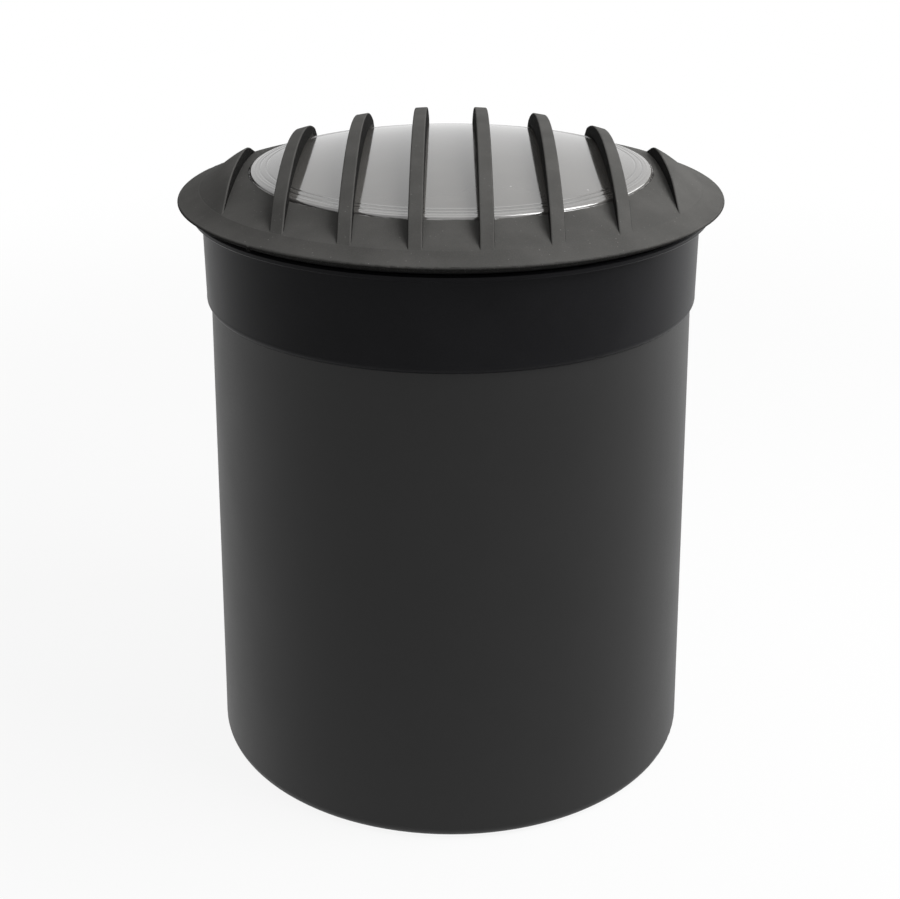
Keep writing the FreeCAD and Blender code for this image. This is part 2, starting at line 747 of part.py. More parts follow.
def lamp_clip():
    seat = cradle_radius
    outside = seat + lamp_clip_wall
    low = lamp_seat_z - lamp_clip_leg
    top = lamp_edge_z + lamp_clip_rise
    tip_r = lamp_radius - lamp_clip_reach
    dip_r = lamp_radius - lamp_clip_dip
    tip_z = top - lamp_clip_tip_drop
    dip_z = top - lamp_clip_dip_drop
    leg = ring(outside, seat, low, top)
    finger = turned((tip_r, tip_z - lamp_clip_finger), (dip_r, dip_z - lamp_clip_finger),
                    (outside, top - lamp_clip_finger), (outside, top), (dip_r, dip_z), (tip_r, tip_z))
    half = lamp_clip_width / 2
    slab = block(0, seat + 2 * lamp_clip_reach, -half, half, low - 1, top + 1)
    return fuse_all(leg, [finger]).common(slab)


def lamp_clip_holes():
    hole = cross_rod(rivet_radius, cradle_bore - 1, cradle_radius + 5, lamp_seat_z - rivet_drop)
    return around(hole, lamp_clip_count, 90)


def lamp_clip_rivets():
    z = lamp_seat_z - rivet_drop
    outer = cradle_radius + lamp_clip_wall
    head = cross_rod(rivet_radius + 0.8, outer, outer + 0.7, z)
    shank = cross_rod(rivet_radius, cradle_bore, outer, z)
    return around(fuse_all(head, [shank]), lamp_clip_count, 90)


def lamp_clips():
    clips = around(lamp_clip(), lamp_clip_count, 90)
    return [clip.cut(hole) for clip, hole in zip(clips, lamp_clip_holes())]


# ---- terminal block ----

def block_posts():
    # Two posts on the floor with their pilot holes.
    pairs = []
    for x in (-block_length / 2 + 4.5, block_length / 2 - 4.5):
        post = rod(3.6, sleeve_floor - 0.5, sleeve_floor + block_seat_height, x, block_offset)
        hole = rod(screw_radius, sleeve_floor - 0.6, sleeve_floor + block_seat_height + 1,
                   x, block_offset)
        pairs.append((post, hole))
    return pairs


def terminal_block():
    low = sleeve_floor + block_seat_height
    half = block_length / 2
    body = block(-half, half, block_offset - block_depth / 2, block_offset + block_depth / 2,
                 low, low + block_ear_height)
    barrier = block(-half + 9, half - 9, block_offset - block_depth / 2,
                    block_offset + block_depth / 2, low, low + block_height)
    body = fuse_all(body, [barrier])
    entries = []
    for x in (-4.0, 4.0):
        entry = Part.makeCylinder(2.2, block_depth + 2,
                                  Vector(x, block_offset - block_depth / 2 - 1, low + 8),
                                  Vector(0, 1, 0))
        entries.append(entry)
        entries.append(rod(2.0, low + 8, low + block_height + 1, x, block_offset))
    for post, _ in block_posts():
        centre = post.CenterOfMass
        entries.append(rod(screw_radius + 0.2, low - 1, low + block_ear_height + 1,
                           centre.x, centre.y))
    return cut_all(body, entries)


def block_fixing_screws():
    screws = []
    for post, _ in block_posts():
        centre = post.CenterOfMass
        seat_z = sleeve_floor + block_seat_height + block_ear_height
        screw = pan_screw(centre.x, seat_z)
        screw.translate(Vector(0, centre.y, 0))
        screws.append(screw)
    return screws


def wire_clamp_screws():
    low = sleeve_floor + block_seat_height
    screws = []
    for x in (-4.0, 4.0):
        screw = rod(1.9, low + 10.3, low + block_height - 1.5, x, block_offset)
        slot = block(x - 2.5, x + 2.5, block_offset - 0.35, block_offset + 0.35,
                     low + block_height - 2.5, low + block_height)
        screws.append(screw.cut(slot))
    return screws


def main():
    os.makedirs("parts", exist_ok=True)
    save("louvre_cap", louvre_cap())
    save("lens", lens())
    save("lens_gasket", lens_gasket())
    save("lens_frame", lens_frame())
    save("lens_clamp_ring", lens_clamp_ring())
    save("lens_clamp_screws", *lens_clamp_screws())
    save("frame_seal", frame_seal())
    save("collar", collar())
    save("collar_screws", *collar_screws())
    save("sleeve", sleeve())
    save("floor_plate", floor_plate())
    save("cable_grommet", cable_grommet())
    save("pan_ring", pan_ring())
    save("carriage_arms", *carriage_arms())
    save("arm_screws", *arm_screws())
    save("ring_clips", *ring_clips())
    save("ring_clip_screws", *ring_clip_screws())
    save("lamp_cradle", lamp_cradle())
    save("tilt_pins", *tilt_pins())
    save("tilt_knob_right", tilt_knob())
    save("tilt_knob_left", mirrored(tilt_knob()))
    save("lamp_glass", lamp_glass())
    save("lamp_reflector", lamp_reflector())
    save("lamp_base", lamp_base())
    save("lamp_burner", lamp_burner())
    save("lamp_terminals", *lamp_terminals())
    save("lamp_clips", *lamp_clips())
    save("lamp_clip_rivets", *lamp_clip_rivets())
    save("terminal_block", terminal_block())
    save("block_fixing_screws", *block_fixing_screws())
    save("wire_clamp_screws", *wire_clamp_screws())


main()
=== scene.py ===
import bpy
import bmesh
import json
import math
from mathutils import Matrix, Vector


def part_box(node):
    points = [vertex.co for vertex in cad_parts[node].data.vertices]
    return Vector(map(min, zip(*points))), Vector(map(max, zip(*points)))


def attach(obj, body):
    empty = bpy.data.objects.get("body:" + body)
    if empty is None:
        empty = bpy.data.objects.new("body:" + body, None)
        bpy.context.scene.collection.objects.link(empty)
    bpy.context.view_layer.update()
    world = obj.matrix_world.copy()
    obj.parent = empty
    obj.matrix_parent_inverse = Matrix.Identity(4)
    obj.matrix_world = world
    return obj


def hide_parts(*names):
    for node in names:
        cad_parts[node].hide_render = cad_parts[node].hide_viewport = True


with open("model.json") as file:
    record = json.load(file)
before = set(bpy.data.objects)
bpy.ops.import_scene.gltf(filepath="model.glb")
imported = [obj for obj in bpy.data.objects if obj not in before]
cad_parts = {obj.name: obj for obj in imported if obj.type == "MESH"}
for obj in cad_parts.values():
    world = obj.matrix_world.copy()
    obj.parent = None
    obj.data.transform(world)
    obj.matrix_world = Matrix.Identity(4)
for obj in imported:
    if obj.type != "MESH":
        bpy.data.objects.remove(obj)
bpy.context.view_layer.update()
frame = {"nodes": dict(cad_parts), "record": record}
print("frame loaded:", len(frame["nodes"]), "nodes")

mm = 0.001


class Wire:              # a shader socket; an expression on wires adds its Math nodes
    def __init__(self, tree, socket=None):
        self.tree = tree
        self.socket = socket

    def node(self, kind, settings=None, values=None, output=0):
        made = self.tree.nodes.new("ShaderNode" + kind)
        for name, value in (settings or {}).items():
            setattr(made, name, value)
        for name, value in (values or {}).items():
            self.plug(made.inputs[name], value)
        return Wire(self.tree, made.outputs[output]) if made.outputs else None

    def plug(self, socket, value):
        if isinstance(value, Wire):
            self.tree.links.new(value.socket, socket)
        else:
            socket.default_value = value

    def maths(self, operation, *values):
        return self.node("Math", {"operation": operation}, dict(enumerate(values)))

    def __add__(self, other):
        return self.maths("ADD", self, other)

    def __radd__(self, other):
        return self.maths("ADD", other, self)

    def __sub__(self, other):
        return self.maths("SUBTRACT", self, other)

    def __rsub__(self, other):
        return self.maths("SUBTRACT", other, self)

    def __mul__(self, other):
        return self.maths("MULTIPLY", self, other)

    def __rmul__(self, other):
        return self.maths("MULTIPLY", other, self)

    def __pow__(self, other):
        return self.maths("POWER", self, other)


def between(wire, low, high):        # 0 below low, 1 above high, and smooth from one to the other
    return wire.node("MapRange", {"interpolation_type": "SMOOTHSTEP"}, {0: wire, 1: low, 2: high})


def rgba(colour):
    return colour if isinstance(colour, Wire) else (*colour, 1)


def blendColours(wire, factor, first, second):
    # a Mix node takes its colours in sockets 6 and 7 and gives the blend at output 2
    settings = {"data_type": "RGBA", "clamp_factor": True}
    return wire.node("Mix", settings, {0: factor, 6: rgba(first), 7: rgba(second)}, 2)


def noise(wire, place, size, detail=2.0, rough=0.5):
    values = {"Vector": place, "Scale": 1 / size, "Detail": detail, "Roughness": rough}
    return wire.node("TexNoise", {}, values)


def cells(wire, place, size, settings, values=None):
    return wire.node("TexVoronoi", settings, {"Vector": place, "Scale": 1 / size, **(values or {})})


def bump(wire, height, depth, strength=1.0, under=None):
    values = {"Strength": strength, "Distance": depth, "Height": height}
    if under is not None:
        values["Normal"] = under
    return wire.node("Bump", {}, values)


def splitAxes(wire, vector):
    parts = wire.tree.nodes.new("ShaderNodeSeparateXYZ")
    wire.plug(parts.inputs[0], vector)
    return [Wire(wire.tree, parts.outputs[axis]) for axis in range(3)]


def fromAxis(wire, place):           # the distance from the light's upright axis
    x, y = splitAxes(wire, place)[:2]
    return (x * x + y * y) ** 0.5


def startMaterial(name):
    material = bpy.data.materials.new(name)
    material.use_nodes = True
    tree = material.node_tree
    tree.nodes.clear()
    wire = Wire(tree)
    place = wire.node("TexCoord", output="Object")      # metres, in the light's own frame
    return material, wire, place


def endMaterial(material, wire, sockets):
    surface = wire.node("BsdfPrincipled", {}, sockets)
    wire.node("OutputMaterial", {}, {"Surface": surface})
    return material


speckle = {                          # what all the moulded finishes share
    "cloudRange": (0.3, 0.7), "cloudShare": 0.6, "cloudRough": 0.10,
    "grainRange": (0.35, 0.7), "grainShare": 0.4, "grainRough": 0.12,
}


def makeSpeckle(wire, place, look):  # fine grain over slow clouds
    grain = noise(wire, place, look["grain"], 3.0, 0.6)
    cloud = noise(wire, place, look["cloud"], 3.0, 0.55)
    clouds = between(cloud, *speckle["cloudRange"]) * speckle["cloudShare"]
    pale = clouds + between(grain, *speckle["grainRange"]) * speckle["grainShare"]
    colour = blendColours(wire, pale, look["colour"], look["pale"])
    uneven = (cloud - 0.5) * speckle["cloudRough"]
    rough = look["roughness"] + uneven + (grain - 0.5) * speckle["grainRough"]
    return grain, colour, rough


capFinish = {                        # weathered grey on top; the louvres' flanks and the band below the rim's top edge get a painted shade, near black with pale pores
    "colour": (0.070, 0.069, 0.066), "pale": (0.098, 0.096, 0.092), "roughness": 0.72,
    "grain": 0.42 * mm, "grainDepth": 0.045 * mm, "cloud": 16 * mm, "specular": 0.025,
    # painted shade: its near-black colour, the sideways facing that brings it on, its added roughness, and
    # the heights below which it covers the rim band
    "paintedShade": (0.010, 0.0098, 0.0095), "flankFacing": (0.62, 0.93), "flankRough": 0.15,
    "shadeBelow": 205.6 * mm, "shadeEndsAbove": 206.4 * mm,
    "speck": (0.085, 0.083, 0.080), "speckSize": 0.336 * mm, "speckRange": (0.56, 0.74),
    "chalk": (0.32, 0.31, 0.30), "chalkSize": 0.714 * mm, "chalkRange": (0.74, 0.80), "chalkShare": 0.5,
    "streak": 2.6 * mm, "streakDepth": 0.16 * mm,
}


def weatheredCompositeWithPaintedShade(name, look):
    material, wire, place = startMaterial(name)
    facing = splitAxes(wire, wire.node("TexCoord", output="Normal"))[0]
    height = splitAxes(wire, place)[2]
    # painted shade: near black below the rim's top edge and on faces turned sideways, the louvres' flanks
    shadedBand = 1 - between(height, look["shadeBelow"], look["shadeEndsAbove"])
    sideways = between(wire.maths("ABSOLUTE", facing), *look["flankFacing"])
    paintedShade = wire.maths("MAXIMUM", sideways, shadedBand)
    grain, top, rough = makeSpeckle(wire, place, look)
    pores = between(noise(wire, place, look["speckSize"], 2.0, 0.7), *look["speckRange"])
    # the painted shade's near-black colour, with pale moulded pores in it
    shadeWithPores = blendColours(wire, pores, look["paintedShade"], look["speck"])
    colour = blendColours(wire, paintedShade, top, shadeWithPores)
    chalk = between(noise(wire, place, look["chalkSize"], 1.0), *look["chalkRange"])
    colour = blendColours(wire, chalk * (1 - paintedShade) * look["chalkShare"], colour, look["chalk"])
    streaks = noise(wire, place, look["streak"], 4.0, 0.65)
    ripple = bump(wire, streaks, look["streakDepth"], paintedShade)
    return endMaterial(material, wire, {
        "Base Color": colour, "Roughness": rough + paintedShade * look["flankRough"],
        "Normal": bump(wire, grain, look["grainDepth"], under=ripple),
        "Specular IOR Level": look["specular"]})


collarFinish = {
    "colour": (0.0075, 0.0075, 0.0086), "pale": (0.0110, 0.0110, 0.0124), "roughness": 0.38,
    "grain": 0.5 * mm, "grainDepth": 0.015 * mm, "cloud": 22 * mm, "specular": 0.08,
}
sleeveFinish = {
    "colour": (0.0105, 0.0105, 0.0105), "pale": (0.0138, 0.0138, 0.0138), "roughness": 0.47,
    "grain": 0.6 * mm, "grainDepth": 0.012 * mm, "cloud": 30 * mm, "specular": 0.28,
}
frameFinish = {
    "colour": (0.007, 0.007, 0.007), "pale": (0.011, 0.011, 0.011), "roughness": 0.55,
    "grain": 0.5 * mm, "grainDepth": 0.02 * mm, "cloud": 14 * mm, "specular": 0.1,
}
knobFinish = {
    "colour": (0.02, 0.02, 0.021), "pale": (0.035, 0.035, 0.036), "roughness": 0.42,
    "grain": 0.4 * mm, "grainDepth": 0.02 * mm, "cloud": 6 * mm, "specular": 0.45,
}
blockFinish = {
    "colour": (0.62, 0.60, 0.55), "pale": (0.74, 0.72, 0.67), "roughness": 0.4,
    "grain": 0.5 * mm, "grainDepth": 0.01 * mm, "cloud": 8 * mm, "specular": 0.5,
}
siliconeFinish = {
    "colour": (0.42, 0.09, 0.05), "pale": (0.50, 0.13, 0.08), "roughness": 0.55,
    "grain": 0.7 * mm, "grainDepth": 0.01 * mm, "cloud": 10 * mm, "specular": 0.4,
}
rubberFinish = {
    "colour": (0.014, 0.014, 0.014), "pale": (0.028, 0.028, 0.027), "roughness": 0.62,
    "grain": 0.5 * mm, "grainDepth": 0.03 * mm, "cloud": 5 * mm, "specular": 0.4,
}
ceramicFinish = {
    "colour": (0.66, 0.63, 0.55), "pale": (0.78, 0.76, 0.69), "roughness": 0.6,
    "grain": 0.35 * mm, "grainDepth": 0.03 * mm, "cloud": 6 * mm, "specular": 0.5,
}


def mouldedComposite(name, look):
    material, wire, place = startMaterial(name)
    grain, colour, rough = makeSpeckle(wire, place, look)
    return endMaterial(material, wire, {
        "Base Color": colour, "Roughness": rough, "Normal": bump(wire, grain, look["grainDepth"]),
        "Specular IOR Level": look["specular"]})


steelFinish = {
    "colour": (0.50, 0.50, 0.49), "pale": (0.66, 0.66, 0.65), "roughness": 0.30,
    "line": 0.12 * mm, "lineLength": 9 * mm, "lineDepth": 0.004 * mm, "lineShare": 0.3, "lineRough": 0.12,
    "stain": 7 * mm, "stainRange": (0.3, 0.75), "stainShare": 0.7, "stainRough": 0.16,
}
brassFinish = {
    **steelFinish, "colour": (0.55, 0.38, 0.13), "pale": (0.72, 0.53, 0.22), "roughness": 0.28,
    "line": 0.15 * mm, "lineLength": 4 * mm,
}


def brushedMetal(name, look):
    material, wire, place = startMaterial(name)
    stretch = (1 / look["lineLength"], 1 / look["line"], 1 / look["line"])
    lengthways = wire.node("VectorMath", {"operation": "MULTIPLY"}, {0: place, 1: stretch})
    lines = noise(wire, lengthways, 1.0)
    stain = noise(wire, place, look["stain"], 3.0)
    pale = between(stain, *look["stainRange"]) * look["stainShare"] + lines * look["lineShare"]
    uneven = (stain - 0.5) * look["stainRough"]
    rough = look["roughness"] + uneven + (lines - 0.5) * look["lineRough"]
    return endMaterial(material, wire, {
        "Base Color": blendColours(wire, pale, look["colour"], look["pale"]), "Metallic": 1.0,
        "Roughness": rough, "Normal": bump(wire, lines, look["lineDepth"])})


mirrorFinish = {
    "colour": (0.80, 0.80, 0.79), "dull": (0.68, 0.69, 0.70), "roughness": 0.12,
    "dimple": 2.2 * mm, "dimpleDepth": 0.05 * mm, "dimpleSmooth": 0.6,
    "haze": 12 * mm, "hazeRange": (0.3, 0.8), "hazeRoughRange": (0.4, 0.8), "hazeRough": 0.08,
}


def mirroredGlass(name, look):
    material, wire, place = startMaterial(name)
    dimples = cells(wire, place, look["dimple"], {"feature": "SMOOTH_F1"},
                    {"Smoothness": look["dimpleSmooth"]})
    haze = noise(wire, place, look["haze"], 3.0)
    dulled = between(haze, *look["hazeRange"])
    rough = look["roughness"] + between(haze, *look["hazeRoughRange"]) * look["hazeRough"]
    return endMaterial(material, wire, {
        "Base Color": blendColours(wire, dulled, look["colour"], look["dull"]), "Metallic": 1.0,
        "Roughness": rough, "Normal": bump(wire, dimples, look["dimpleDepth"])})


lampGlassFinish = {
    "colour": (0.90, 0.93, 0.94), "dull": (0.78, 0.82, 0.84), "roughness": 0.04,
    "haze": 9 * mm, "hazeRange": (0.35, 0.8), "hazeRoughRange": (0.4, 0.8), "hazeRough": 0.06,
    "ior": 1.50, "clearness": 0.85,
}


def clearGlass(name, look):
    material, wire, place = startMaterial(name)
    haze = noise(wire, place, look["haze"], 3.0)
    dulled = between(haze, *look["hazeRange"])
    rough = look["roughness"] + between(haze, *look["hazeRoughRange"]) * look["hazeRough"]
    return endMaterial(material, wire, {
        "Base Color": blendColours(wire, dulled, look["colour"], look["dull"]), "Roughness": rough,
        "IOR": look["ior"], "Transmission Weight": look["clearness"]})


lensFinish = {                       # frosted inside under a glossy face; two fine dark rings over the grooves are painted shade, and the paler band at the glass edge is a painted highlight
    "colour": (0.128, 0.123, 0.115), "pale": (0.154, 0.148, 0.139), "roughness": 0.085,
    "cloud": 26 * mm, "cloudRange": (0.3, 0.7), "cloudShare": 0.7,
    "cloudRoughRange": (0.35, 0.75), "cloudRough": 0.05,
    "frost": 0.5 * mm, "frostShare": 0.3, "frostDepth": 0.0008 * mm,
    # painted highlight: paler towards the glass edge
    "edge": (0.20, 0.193, 0.184), "edgeHighlightFrom": 67.3 * mm, "edgeHighlightTo": 68.5 * mm,
    # painted shade in the grooves: its dark colour, share and widths, at the ring radii
    "line": (0.06, 0.058, 0.055), "lineShare": 0.75, "ringShadeWidth": 0.35 * mm, "ringShadeCore": 0.105 * mm,
    "rings": (62.7 * mm, 64.9 * mm),
    "fleck": (0.62, 0.61, 0.60), "fleckShare": 0.45, "fleckSpacing": 8.1 * mm, "fleckRange": (0.03, 0.055),
    "ior": 2.3, "clearness": 0.12,
}


def frostedLens(name, look):
    material, wire, place = startMaterial(name)
    radius = fromAxis(wire, place)
    cloud = noise(wire, place, look["cloud"], 3.0, 0.6)
    frost = noise(wire, place, look["frost"], 2.0)
    pale = between(cloud, *look["cloudRange"]) * look["cloudShare"] + frost * look["frostShare"]
    colour = blendColours(wire, pale, look["colour"], look["pale"])
    # painted highlight of the glass edge
    edge = between(radius, look["edgeHighlightFrom"], look["edgeHighlightTo"])
    colour = blendColours(wire, edge, colour, look["edge"])
    # painted shade: a dark line over each groove
    for ring in look["rings"]:
        away = wire.maths("ABSOLUTE", radius - ring)
        line = 1 - between(away, look["ringShadeCore"], look["ringShadeWidth"])
        colour = blendColours(wire, line * look["lineShare"], colour, look["line"])
    spots = cells(wire, place, look["fleckSpacing"], {"feature": "F1"})
    fleck = 1 - between(spots, *look["fleckRange"])
    colour = blendColours(wire, fleck * look["fleckShare"], colour, look["fleck"])
    rough = look["roughness"] + between(cloud, *look["cloudRoughRange"]) * look["cloudRough"]
    return endMaterial(material, wire, {
        "Base Color": colour, "Roughness": rough, "Normal": bump(wire, frost, look["frostDepth"]),
        "IOR": look["ior"], "Transmission Weight": look["clearness"]})


finishes = {                         # one for each of the record's material slots
    "louvre_composite": weatheredCompositeWithPaintedShade("LouvreComposite", capFinish),
    "collar_composite": mouldedComposite("CollarComposite", collarFinish),
    "sleeve_plastic": mouldedComposite("SleevePlastic", sleeveFinish),
    "frame_composite": mouldedComposite("FrameComposite", frameFinish),
    "lens_glass": frostedLens("LensGlass", lensFinish),
    "silicone": mouldedComposite("Silicone", siliconeFinish),
    "rubber": mouldedComposite("Rubber", rubberFinish),
    "stainless": brushedMetal("Stainless", steelFinish),
    "lamp_glass": clearGlass("LampGlass", lampGlassFinish),
    "reflector": mirroredGlass("Reflector", mirrorFinish),
    "ceramic": mouldedComposite("Ceramic", ceramicFinish),
    "brass": brushedMetal("Brass", brassFinish),
    "knob_plastic": mouldedComposite("KnobPlastic", knobFinish),
    "block_plastic": mouldedComposite("BlockPlastic", blockFinish),
}
slotOf = {entry["node"]: entry["material_slot"] for entry in frame["record"]["subparts"]}
for nodeName, nodeObject in frame["nodes"].items():
    nodeObject.data.materials.clear()
    nodeObject.data.materials.append(finishes[slotOf[nodeName]])
print("finishes made:", len(finishes))


def addObject(name, data):
    made = bpy.data.objects.new(name, data)
    bpy.context.scene.collection.objects.link(made)
    return made


cameraView = {                       # the camera stands close, so the sleeve narrows downwards
    "rimHeight": 206.5 * mm, "distance": 518.7 * mm, "above": 129.0 * mm, "sideways": -0.32 * mm,
    "pitch": 23.634, "focalPixels": 1531.7, "imageWidth": 900, "sensorWidth": 36, "nearest": 10 * mm,
}


def placeCamera(look):
    camera = bpy.data.cameras.new("Camera")
    camera.sensor_fit = "HORIZONTAL"
    camera.sensor_width = look["sensorWidth"]
    camera.lens = look["focalPixels"] / look["imageWidth"] * look["sensorWidth"]
    camera.clip_start = look["nearest"]
    holder = addObject("Camera", camera)
    holder.location = (look["sideways"], -look["distance"], look["rimHeight"] + look["above"])
    holder.rotation_euler = (math.radians(90 - look["pitch"]), 0, 0)
    bpy.context.scene.camera = holder


studio = {
    "worldLight": 0.16, "background": 1.0, "floorSize": 6.0, "floor": (0.86, 0.86, 0.86),
    "floorBelow": 0.2 * mm, "floorGlow": 0.90, "whiteFrom": 0.3, "whiteTo": 0.9,
    "lampAim": (0, 0, 0.12),
    "lamps": (
        {"name": "KeySoftbox", "from": (0.45, -0.15, 0.62), "size": 0.45, "watts": 4.8},
        {"name": "TopSoftbox", "from": (0.0, 0.25, 1.30), "size": 1.2, "watts": 3.5},
        {"name": "RightSoftbox", "from": (0.90, 0.50, 0.26), "size": 0.65, "watts": 3.2},
    ),
}


def seenDirectly(wire):              # camera, mirror and glass rays, which see the plain white
    path = wire.tree.nodes.new("ShaderNodeLightPath")
    rays = [Wire(wire.tree, path.outputs[name])
            for name in ("Is Camera Ray", "Is Glossy Ray", "Is Transmission Ray")]
    return wire.maths("MAXIMUM", wire.maths("MAXIMUM", rays[0], rays[1]), rays[2])


def lightStudio(look):
    world = bpy.data.worlds.new("Studio")
    bpy.context.scene.world = world
    world.use_nodes = True
    world.node_tree.nodes.clear()
    wire = Wire(world.node_tree)
    level = look["worldLight"] + seenDirectly(wire) * (look["background"] - look["worldLight"])
    sky = wire.node("Background", {}, {"Color": (1, 1, 1, 1), "Strength": level})
    wire.node("OutputWorld", {}, {"Surface": sky})
    for entry in look["lamps"]:
        lamp = bpy.data.lights.new(entry["name"], "AREA")
        lamp.energy = entry["watts"]
        lamp.size = entry["size"]
        holder = addObject(entry["name"], lamp)
        holder.location = entry["from"]
        aim = Vector(look["lampAim"]) - holder.location
        holder.rotation_euler = aim.to_track_quat("-Z", "Y").to_euler()


def layFloor(look):                  # it keeps the shadow close by and grows white further off
    half = look["floorSize"] / 2
    mesh = bpy.data.meshes.new("Floor")
    corners = [(-half, -half, 0), (half, -half, 0), (half, half, 0), (-half, half, 0)]
    mesh.from_pydata(corners, [], [(0, 1, 2, 3)])
    floor = addObject("Floor", mesh)
    floor.location.z = -look["floorBelow"]
    material, wire, place = startMaterial("PaleFloor")
    plain = wire.node("BsdfDiffuse", {}, {"Color": rgba(look["floor"])})
    glow = wire.node("Emission", {}, {"Color": (1, 1, 1, 1), "Strength": 1.0})
    away = between(fromAxis(wire, place), look["whiteFrom"], look["whiteTo"])
    white = look["floorGlow"] + away * (1 - look["floorGlow"])
    mixed = wire.node("MixShader", {}, {0: seenDirectly(wire) * white, 1: plain, 2: glow})
    wire.node("OutputMaterial", {}, {"Surface": mixed})
    mesh.materials.append(material)


placeCamera(cameraView)
lightStudio(studio)
layFloor(studio)
bpy.context.scene.view_settings.view_transform = "Standard"
print("camera, light and floor placed")


def finishMesh(name, build, sharp=None):
    # the object of what was built, shaded smooth but for edges past the sharp angle, in degrees
    bmesh.ops.recalc_face_normals(build, faces=build.faces)
    mesh = bpy.data.meshes.new(name)
    build.to_mesh(mesh)
    build.free()
    mesh.polygons.foreach_set("use_smooth", [True] * len(mesh.polygons))
    if sharp is not None:
        mesh.set_sharp_from_angle(angle=math.radians(sharp))
    return addObject(name, mesh)


def fullTurn(steps):
    return [math.tau * step / steps for step in range(steps)]


def lathe(name, outline, sides=288, sharp=32):
    # turns (radius, height) points about the upright axis; a closed outline gives a closed solid
    build = bmesh.new()
    rows = []
    for r, height in outline:
        if r < 1e-7:                 # a single point on the axis
            rows.append([build.verts.new((0, 0, height))])
        else:
            rows.append([build.verts.new((r * math.cos(angle), r * math.sin(angle), height))
                         for angle in fullTurn(sides)])
    for row, after in zip(rows, rows[1:]):
        for step in range(sides):
            follow = (step + 1) % sides
            if len(row) == 1:
                build.faces.new((row[0], after[step], after[follow]))
            elif len(after) == 1:
                build.faces.new((row[step], after[0], row[follow]))
            else:
                build.faces.new((row[step], after[step], after[follow], row[follow]))
    return finishMesh(name, build, sharp)


def sweep(name, path, radii, sides=8, closed=True):
    # a tube along a path, its radius given at each point; an open one gets flat ends
    build = bmesh.new()
    count = len(path)
    rows = []
    side = Vector((1, 0, 0))
    for index, point in enumerate(path):
        before = path[index - 1] if closed or index else point
        after = path[(index + 1) % count] if closed or index + 1 < count else point
        ahead = (after - before).normalized()
        side = (side - ahead * side.dot(ahead)).normalized()
        over = ahead.cross(side)
        spokes = [math.cos(angle) * side + math.sin(angle) * over for angle in fullTurn(sides)]
        rows.append([build.verts.new(point + radii[index] * spoke) for spoke in spokes])
    for index in range(count if closed else count - 1):
        row, after = rows[index], rows[(index + 1) % count]
        for step in range(sides):
            follow = (step + 1) % sides
            build.faces.new((row[step], row[follow], after[follow], after[step]))
    if not closed:
        build.faces.new(rows[0])
        build.faces.new(rows[-1])
    return finishMesh(name, build)


def dress(piece, slotName, body, *nodes):
    piece.data.materials.clear()
    piece.data.materials.append(finishes[slotName])
    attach(piece, body)
    if nodes:
        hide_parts(*nodes)


def capRadius(reach, rise):          # of the sphere whose cap has this radius and height
    return (reach ** 2 + rise ** 2) / (2 * rise)


def onSphere(crown, sphere, r):      # the height at radius r of a sphere whose top is at crown
    return crown - sphere + math.sqrt(sphere ** 2 - r ** 2)


def hump(r, middle, width):          # 1 at the middle of a soft ridge or groove, 0 past its sides
    near = max(0.0, 1 - abs(r - middle) / (width / 2))
    return near ** 2 * (3 - 2 * near)


lensLook = {
    "flangeWidth": 4.6 * mm, "flangeHeight": 5.0 * mm, "edgeDrop": 7.1 * mm, "wall": 5.0 * mm,
    "grooves": (62.7 * mm, 64.9 * mm), "grooveWidth": 1.1 * mm, "grooveDepth": 0.15 * mm,
    "bead": 66.6 * mm, "beadWidth": 1.2 * mm, "beadRise": 0.10 * mm,
    "innerStep": 1.1 * mm, "innerStepWidth": 1.7 * mm, "innerSteps": 2, "round": 0.9 * mm,
    "domePoints": 44, "groovePoints": 60, "roundPoints": 6, "insidePoints": 24,
}


def makeLens(look):
    low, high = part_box("lens")
    crown, bottom, flangeRadius = high[2], low[2], high[0]
    edge = flangeRadius - look["flangeWidth"]
    inner = edge - look["wall"]
    sphere = capRadius(edge, look["edgeDrop"])

    def outside(r):
        height = onSphere(crown, sphere, r)
        for groove in look["grooves"]:
            height -= look["grooveDepth"] * hump(r, groove, look["grooveWidth"])
        return height + look["beadRise"] * hump(r, look["bead"], look["beadWidth"])

    def inside(r):
        return onSphere(crown - look["wall"], sphere - look["wall"], r)

    shoulder = edge - look["round"]
    fineFrom = look["grooves"][0] - look["grooveWidth"]
    reaches = [fineFrom * step / look["domePoints"] for step in range(look["domePoints"])]
    for step in range(look["groovePoints"] + 1):
        reaches.append(fineFrom + (shoulder - fineFrom) * step / look["groovePoints"])
    outline = [(r, outside(r)) for r in reaches]
    top = outside(shoulder)
    for step in range(look["roundPoints"]):
        angle = math.pi / 2 * (step + 1) / look["roundPoints"]
        outline.append((shoulder + look["round"] * math.sin(angle),
                        top - look["round"] * (1 - math.cos(angle))))
    flangeTop = bottom + look["flangeHeight"]
    outline += [(edge, flangeTop), (flangeRadius, flangeTop), (flangeRadius, bottom), (inner, bottom)]
    stepFoot = inner - look["innerSteps"] * look["innerStepWidth"]
    for count in range(look["innerSteps"], 0, -1):
        height = inside(stepFoot) - count * look["innerStep"]
        reach = stepFoot + count * look["innerStepWidth"]
        outline += [(reach, height), (reach - look["innerStepWidth"], height)]
    for step in range(look["insidePoints"], -1, -1):
        r = stepFoot * step / look["insidePoints"]
        outline.append((r, inside(r)))
    return lathe("lens_dome", outline)


dress(makeLens(lensLook), "lens_glass", "lens_unit", "lens")
print("lens made")

sealantLook = {                      # a thin uneven bead between the glass and the louvre cap
    "gapMiddle": 68.61 * mm, "height": 213.85 * mm, "thick": 0.20 * mm, "thin": 0.03 * mm, "points": 720,
    "rises": 11, "middle": 0.45,
    "swells": ((7, 0.30, 1.0), (19, 0.28, 2.2), (53, 0.22, 0.0), (131, 0.15, 0.4)),
}


